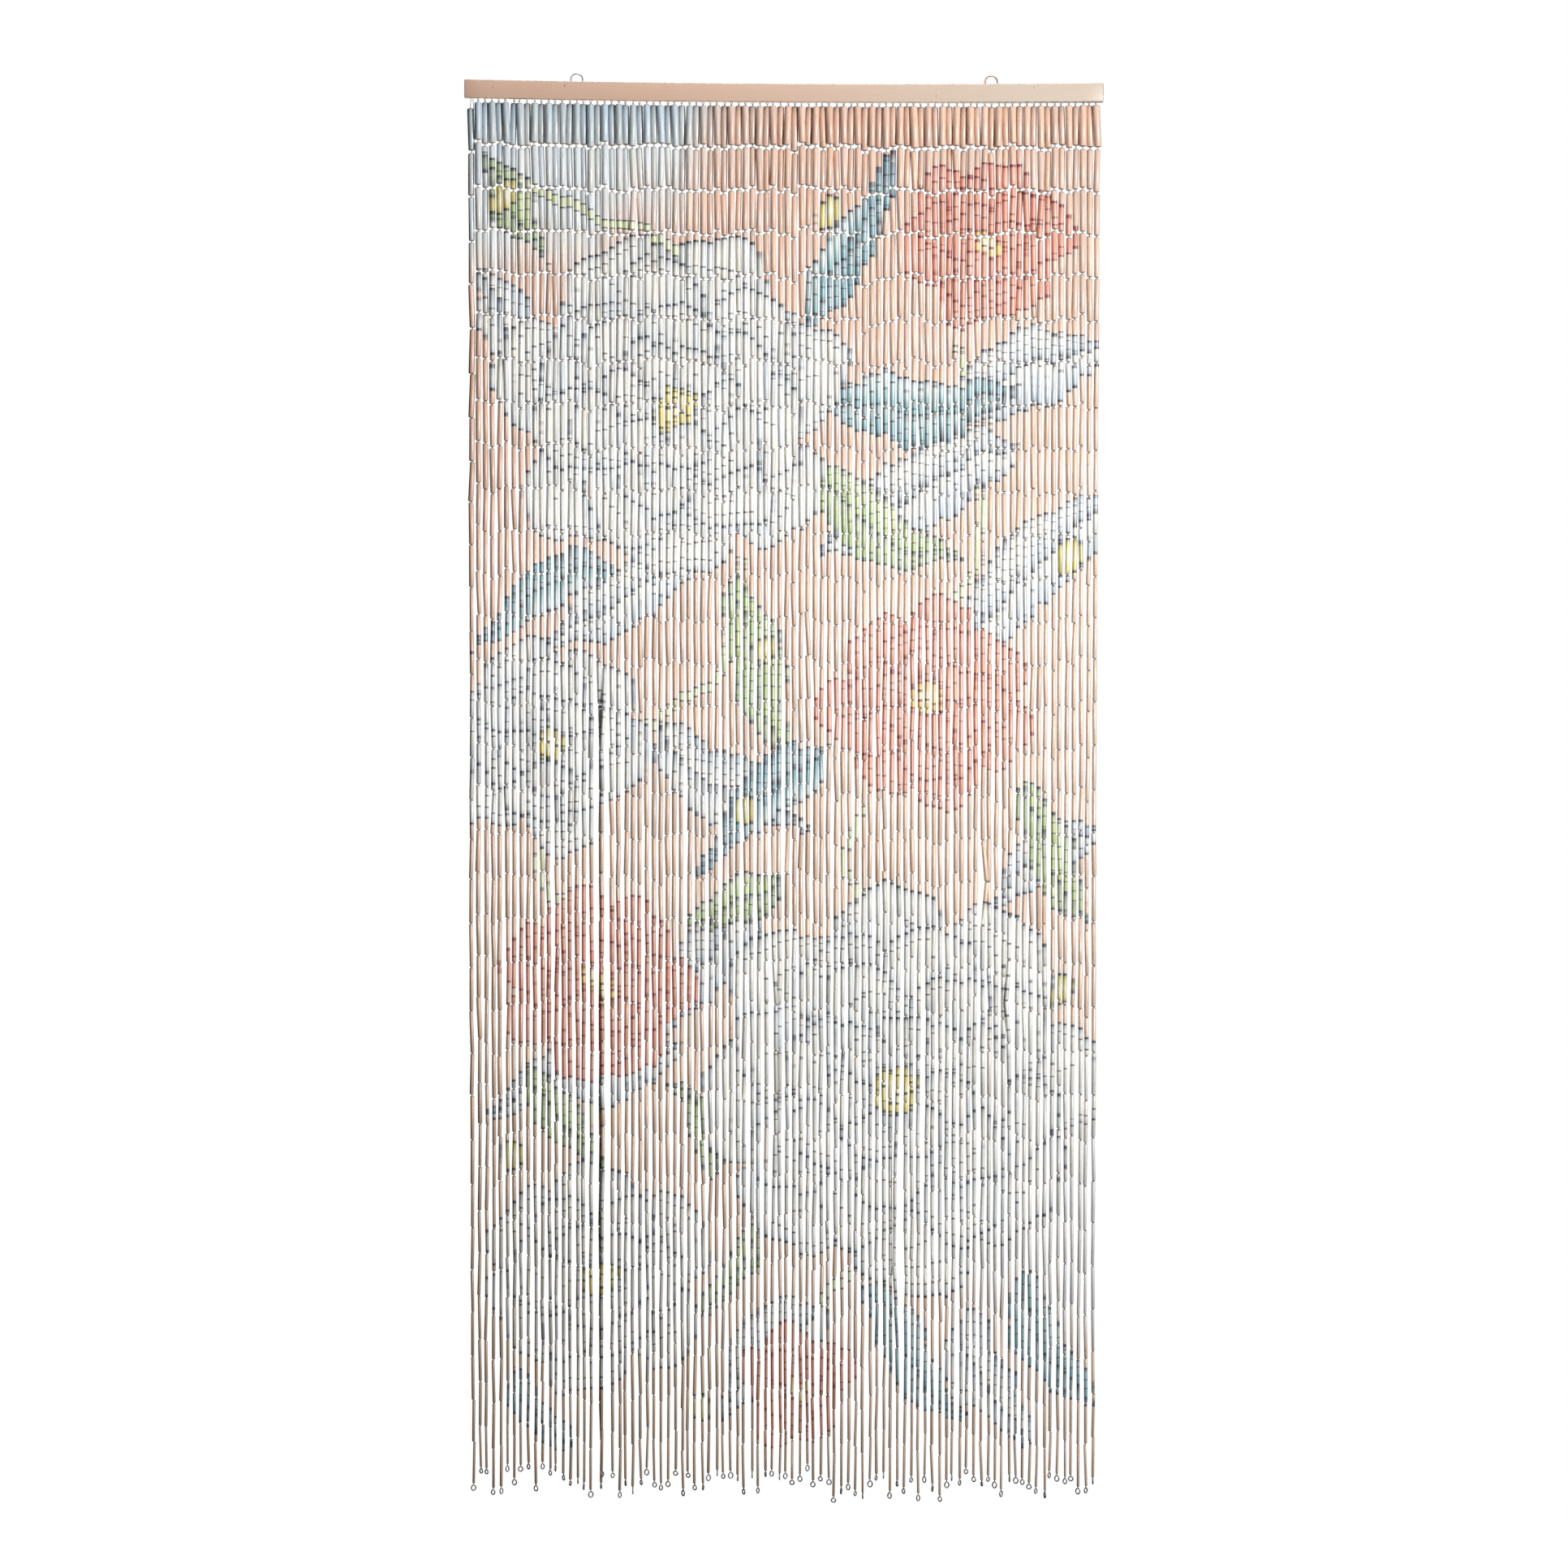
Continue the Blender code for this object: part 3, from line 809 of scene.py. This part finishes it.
perGroup = hang["strands"] // hang["groups"]
groups = [range(perGroup * g, perGroup * (g + 1)) for g in range(hang["groups"])]
for number, strands in enumerate(groups, 1):
    piece = beadPile(strands).join(f"beads_{number}", beadPaint)
    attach(piece, "root")
    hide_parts(f"strands_{number}")
    print(piece.name, len(piece.data.polygons), "faces")


# the wire: a half ring with two legs, modelled once and fitted to every link

wire = {
    "unit": 0.25,  # the wire's own radius in the unit ring
    "radius": 0.00030, "halfWidth": 0.30, "mostHalf": 0.00105, "into": 0.0022, "ringSteps": 8, "sides": 4,
}


def modelHalfRing(ringSteps, sides):
    # unit half ring over two legs that end one unit lower
    deselectAll()
    bpy.ops.mesh.primitive_torus_add(major_radius=1.0, minor_radius=wire["unit"], major_segments=ringSteps,
                                     minor_segments=sides, rotation=(math.pi / 2, 0, 0))
    bpy.ops.object.transform_apply(rotation=True)
    obj = bpy.context.active_object
    bpy.ops.object.mode_set(mode="EDIT")
    bpy.ops.mesh.select_all(action="SELECT")
    bpy.ops.mesh.bisect(plane_co=(0, 0, 0), plane_no=(0, 0, 1), clear_inner=True)
    bpy.ops.mesh.select_mode(type="EDGE")
    points = obj.data.vertices
    selectWhere(obj, "edges", lambda edge: all(abs(points[i].co.z) < 1e-4 for i in edge.vertices))
    bpy.ops.mesh.extrude_region_move(TRANSFORM_OT_translate={"value": (0, 0, -1)})
    bpy.ops.mesh.edge_face_add()
    bpy.ops.mesh.select_all(action="SELECT")
    bpy.ops.mesh.normals_make_consistent(inside=False)
    bpy.ops.object.mode_set(mode="OBJECT")
    return templateOf(obj)


def layHalfRing(pile, shape, crown, axis, halfWidth, rise, legs, radius, turn, spread=0.0):
    # the half ring's crown is at a point, and its legs run on along the axis and part by the spread
    points, corners, totals = shape
    onArc = points[:, 2] > -1e-4
    bend = numpy.arctan2(points[:, 2], points[:, 0])
    middle = numpy.zeros_like(points)
    middle[:, 0] = numpy.where(onArc, numpy.cos(bend), numpy.sign(points[:, 0]))
    middle[:, 2] = numpy.where(onArc, numpy.sin(bend), points[:, 2])
    offset = (points - middle) * radius / wire["unit"]
    middle[:, 0] *= halfWidth * (1.0 + numpy.where(onArc, 0.0, spread))
    middle[:, 2] = numpy.where(onArc, (1.0 - middle[:, 2]) * rise, rise + legs)
    side = Vector((math.cos(turn), math.sin(turn), 0))
    side = (side - axis * side.dot(axis)).normalized()
    depth = side.cross(axis)
    across = middle[:, 0] + offset[:, 0]
    along = middle[:, 2] - offset[:, 2]
    placed = numpy.array(crown) + numpy.outer(across, side) + numpy.outer(along, axis)
    placed += numpy.outer(offset[:, 1], -depth)
    pile.add(placed, corners, totals)


halfRing = modelHalfRing(wire["ringSteps"], wire["sides"])
for number, strands in enumerate(groups, 1):
    pile = Pile()
    for strand in strands:
        chance = random.Random(draws["links"] + strand)
        for over, under in zip(plans[strand], plans[strand][1:]):
            turn = chance.uniform(0, math.pi)
            span = under["top"] - over["end"]
            middle = (over["end"] + under["top"]) / 2
            half = min(wire["mostHalf"], wire["halfWidth"] * min(over["radius"], under["radius"]))
            legs = span.length / 2 + wire["into"] - half
            down = (under["end"] - under["top"]).normalized()
            up = (over["top"] - over["end"]).normalized()
            lift = Vector((0, 0, wire["radius"]))
            radius = wire["radius"]
            layHalfRing(pile, halfRing, middle + lift, down, half, half, legs, radius, turn)
            layHalfRing(pile, halfRing, middle - lift, up, half, half, legs, radius, turn + math.pi / 2)
    piece = pile.join(f"links_{number}", linkSteel)
    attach(piece, "root")
    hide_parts(f"strands_{number}")
print("links laid")


# the hooks that hold the strands under the batten, and the eyes that end them

hook = {
    "radius": 0.00038, "astray": 0.0004, "turn": 0.5, "meet": (0.35, 0.55), "half": (0.0008, 0.0013),
    "over": 0.0006, "lowerHalf": 0.9, "into": 0.0022, "lowerTurn": (1.0, 2.0), "spread": (0.0, 0.7),
    "longShift": (0.0022, 0, 0.0025), "longHalf": 0.0013, "longInto": 0.0035, "longSpread": 1.1,
}

hooks = Pile()
for strand in range(hang["strands"]):
    chance = random.Random(draws["hooks"] + strand)
    top = plans[strand][0]["top"]
    seat = Vector((top.x + chance.gauss(0, hook["astray"]), top.y * 0.5, battenUnderside(top.x)))
    down = Vector((0, 0, -1))
    turn = chance.gauss(0, hook["turn"])
    radius = hook["radius"]
    if strand == 0:  # the outermost strand hangs lower, on two longer wires
        crown = seat + Vector(hook["longShift"])
        half = hook["longHalf"]
        layHalfRing(hooks, halfRing, crown, (top - seat).normalized(), half, half,
                    seat.z - top.z + hook["longInto"], radius, 0.0, hook["longSpread"])
        continue
    drop = (seat.z - top.z) * chance.uniform(*hook["meet"])
    meet = seat + (top - seat) * (drop / (seat.z - top.z))
    half = chance.uniform(*hook["half"])
    lift = Vector((0, 0, radius))
    layHalfRing(hooks, halfRing, meet - lift, -down, half, half, drop + hook["over"] - half, radius, turn)
    layHalfRing(hooks, halfRing, meet + lift, down, half * hook["lowerHalf"], half,
                seat.z - top.z - drop + hook["into"], radius,
                turn + chance.uniform(*hook["lowerTurn"]), chance.uniform(*hook["spread"]))
topHooks = hooks.join("top_hooks", linkSteel)
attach(topHooks, "root")


def modelRing(steps, sides):
    deselectAll()
    bpy.ops.mesh.primitive_torus_add(major_radius=1.0, minor_radius=wire["unit"], major_segments=steps,
                                     minor_segments=sides, rotation=(math.pi / 2, 0, 0))
    bpy.ops.object.transform_apply(rotation=True)
    return templateOf(bpy.context.active_object)


eye = {
    "radius": 0.00096, "full": 1.10, "pinch": 0.30, "steps": 16, "sides": 6, "astray": 0.0003,
    "neckLift": 0.0004, "neckHalf": 0.0005, "neckRise": 0.0004, "neckInto": 0.0022, "neckRadius": 0.00048,
    "neckTurn": 1.2,
}

eyes = Pile()
ring = modelRing(eye["steps"], eye["sides"])
for strand in range(hang["strands"]):
    chance = random.Random(draws["eyes"] + strand)
    eyeWidth, eyeHeight, eyeTurn = strandShapes[strand][1]
    end = plans[strand][-1]["end"]
    points, corners, totals = ring
    bend = numpy.arctan2(points[:, 2], points[:, 0])
    circle = numpy.stack([numpy.cos(bend), numpy.zeros(len(bend)), numpy.sin(bend)], 1)
    offset = (points - circle) * eye["radius"] / wire["unit"]
    halfWidth = eyeWidth * eye["full"] / 2 - eye["radius"]
    halfHeight = eyeHeight / 2 - eye["radius"]
    pinch = 1.0 - eye["pinch"] * smoothstep(circle[:, 2])
    centre = end + Vector((chance.gauss(0, eye["astray"]), 0, -hang["eyeNeck"] - eyeHeight / 2))
    placed = circle * numpy.array([halfWidth, 0, halfHeight])
    placed[:, 0] *= pinch
    placed += offset
    cosine, sine = math.cos(eyeTurn), math.sin(eyeTurn)
    turned = numpy.stack([placed[:, 0] * cosine - placed[:, 1] * sine,
                          placed[:, 0] * sine + placed[:, 1] * cosine, placed[:, 2]], 1)
    eyes.add(turned + numpy.array(centre), corners, totals)
    # the twisted neck between the bead and the eye
    neck = centre + Vector((0, 0, halfHeight + eye["neckLift"]))
    layHalfRing(eyes, halfRing, neck, Vector((0, 0, 1)), eye["neckHalf"], eye["neckRise"],
                hang["eyeNeck"] + eye["neckInto"], eye["neckRadius"], eyeTurn + eye["neckTurn"])
endEyes = eyes.join("end_eyes", eyeSteel)
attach(endEyes, "root")
print("hooks and eyes laid")


# the batten

def makeBatten():
    deselectAll()
    bpy.ops.mesh.primitive_cube_add(size=1.0)
    obj = bpy.context.active_object
    obj.name = obj.data.name = "batten_painted"
    obj.scale = (batten["length"], batten["depth"], batten["height"])
    bpy.ops.object.transform_apply(scale=True)
    bpy.ops.object.mode_set(mode="EDIT")
    for station in range(1, batten["stations"]):
        bpy.ops.mesh.select_all(action="SELECT")
        bpy.ops.mesh.bisect(plane_co=(batten["length"] * (station / batten["stations"] - 0.5), 0, 0),
                            plane_no=(1, 0, 0))
    bpy.ops.object.mode_set(mode="OBJECT")
    for vertex in obj.data.vertices:
        rise = vertex.co.z / batten["height"] + 0.5
        vertex.co.z = battenUnderside(vertex.co.x) + rise * batten["height"]
    soften = obj.modifiers.new("soften", "BEVEL")
    soften.width = batten["easing"]
    soften.segments = batten["easingSteps"]
    soften.limit_method = "ANGLE"
    soften.angle_limit = math.radians(60)
    bpy.ops.object.modifier_apply(modifier="soften")
    # 1 at the points along the edges, 0 elsewhere, for the wear
    worn = obj.data.attributes.new("worn", "FLOAT", "POINT")
    for vertex in obj.data.vertices:
        rise = vertex.co.z - battenUnderside(vertex.co.x)
        edges = min(rise, batten["height"] - rise) < batten["wearReach"]
        edges += batten["depth"] / 2 - abs(vertex.co.y) < batten["wearReach"]
        edges += batten["length"] / 2 - abs(vertex.co.x) < batten["wearReach"]
        worn.data[vertex.index].value = 1.0 if edges > 1 else 0.0
    bpy.ops.object.shade_smooth_by_angle(angle=math.radians(35))
    obj.data.materials.append(battenPaint)
    return obj


battenPiece = makeBatten()
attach(battenPiece, "root")
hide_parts("batten")


# the two hanging loops in the batten's top

loops = {
    "steps": 48, "sides": 12,
    "left": {"node": "hanging_loop_left", "place": -0.292, "width": 0.0185, "height": 0.0125, "into": 0.008,
             "wires": ((0.0, 0.0, 0.00095),)},  # shift along the batten, shift back, wire's radius
    "right": {"node": "hanging_loop_right", "place": 0.292, "width": 0.0200, "height": 0.0130,
              "into": 0.008,
              "wires": ((-0.0006, -0.0007, 0.00072), (0.0007, 0.0009, 0.00072))},
}


def makeLoop(name, loop, material):
    pile = Pile()
    shape = modelHalfRing(loops["steps"], loops["sides"])
    for shift, back, radius in loop["wires"]:
        half = loop["width"] / 2 - radius - abs(shift)
        seat = battenTop(loop["place"])
        crown = Vector((loop["place"] + shift, back, seat + loop["height"] - radius - abs(shift) * 0.7))
        legs = loop["height"] - half + loop["into"]
        layHalfRing(pile, shape, crown, Vector((0, 0, -1)), half, half, legs, radius, shift * 90)
    piece = pile.join(name, material)
    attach(piece, "root")
    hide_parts(loop["node"])
    return piece


makeLoop("loop_left", loops["left"], loopSteel)
makeLoop("loop_right", loops["right"], loopBrass)
print("batten and loops made")


# floor, light and camera

stage = {
    "floor": -2.13, "near": -1.3, "far": 0.55, "half": 1.6, "paper": (0.97, 0.97, 0.965),
    "fleck": (0.94, 0.94, 0.93),
    "distance": 6.0, "eyeLevel": -0.9988, "view": 2.2094, "sensor": 36.0,
    "key": {"place": (2.12, -2.42, -0.48), "size": (0.6, 0.8), "spread": 120, "power": 55.5},
    "back": {"place": (-0.4, 3.0, -0.7), "size": (1.8, 1.8), "spread": 180, "power": 60.0},
    "above": {"place": (0.2, -0.12, 2.0), "size": (1.4, 0.8), "spread": 120, "power": 22.0},
    "lamp": (1.0, 0.99, 0.975), "room": 0.015,
}


def makeFloor():
    deselectAll()
    bpy.ops.mesh.primitive_grid_add(x_subdivisions=8, y_subdivisions=8, size=2.0)
    floor = bpy.context.active_object
    floor.name = "floor"
    for vertex in floor.data.vertices:
        y = stage["near"] + (stage["far"] - stage["near"]) * (vertex.co.y + 1) / 2
        vertex.co = (vertex.co.x * stage["half"], y, stage["floor"])
    material, tree, shader = newMaterial("paperFloor")
    fleck = streakMask(tree, (1.0, 1.0, 1.0), 90.0, 4.0)
    colour = mixColour(tree, ramp(tree, fleck, 0.3, 0.8, 0.0, 0.3), stage["paper"], stage["fleck"])
    tree.links.new(colour, shader.inputs["Base Color"])
    shader.inputs["Roughness"].default_value = 0.9
    shader.inputs["Emission Color"].default_value = (1.0, 1.0, 1.0, 1.0)
    shader.inputs["Emission Strength"].default_value = 1.0
    floor.data.materials.append(material)
    floor.visible_diffuse = floor.visible_glossy = False


def addSoftLight(name, light):
    lamp = bpy.data.lights.new(name, "AREA")
    lamp.shape = "RECTANGLE"
    lamp.size, lamp.size_y = light["size"]
    lamp.spread = math.radians(light["spread"])
    lamp.energy = light["power"]
    lamp.color = stage["lamp"]
    obj = bpy.data.objects.new(name, lamp)
    bpy.context.scene.collection.objects.link(obj)
    obj.location = light["place"]
    aim = Vector((0, 0, min(0.0, light["place"][2]))) - obj.location
    obj.rotation_euler = aim.to_track_quat("-Z", "Y").to_euler()


def makeRoom():
    world = bpy.data.worlds.new("room")
    bpy.context.scene.world = world
    world.use_nodes = True
    tree = world.node_tree
    tree.nodes.clear()
    seen = addNode(tree, "ShaderNodeBackground", {"Color": (1, 1, 1, 1), "Strength": 1.0})
    lit = addNode(tree, "ShaderNodeBackground", {"Color": (1.0, 0.98, 0.94, 1), "Strength": stage["room"]})
    rays = addNode(tree, "ShaderNodeLightPath")
    mix = addNode(tree, "ShaderNodeMixShader", {0: rays.outputs["Is Camera Ray"], 1: lit.outputs[0],
                                                2: seen.outputs[0]})
    addNode(tree, "ShaderNodeOutputWorld", {"Surface": mix.outputs[0]})


def addCamera():
    lens = bpy.data.cameras.new("camera")
    lens.sensor_width = stage["sensor"]
    lens.lens = stage["sensor"] * stage["distance"] / stage["view"]
    lens.clip_end = 50.0
    camera = bpy.data.objects.new("camera", lens)
    bpy.context.scene.collection.objects.link(camera)
    camera.location = (0, -stage["distance"], stage["eyeLevel"])
    camera.rotation_euler = (math.pi / 2, 0, 0)
    bpy.context.scene.camera = camera


makeFloor()
makeRoom()
addSoftLight("key light", stage["key"])
addSoftLight("back light", stage["back"])
addSoftLight("light above", stage["above"])
addCamera()
bpy.context.scene.view_settings.view_transform = "Standard"
print("stage set")

deselectAll()
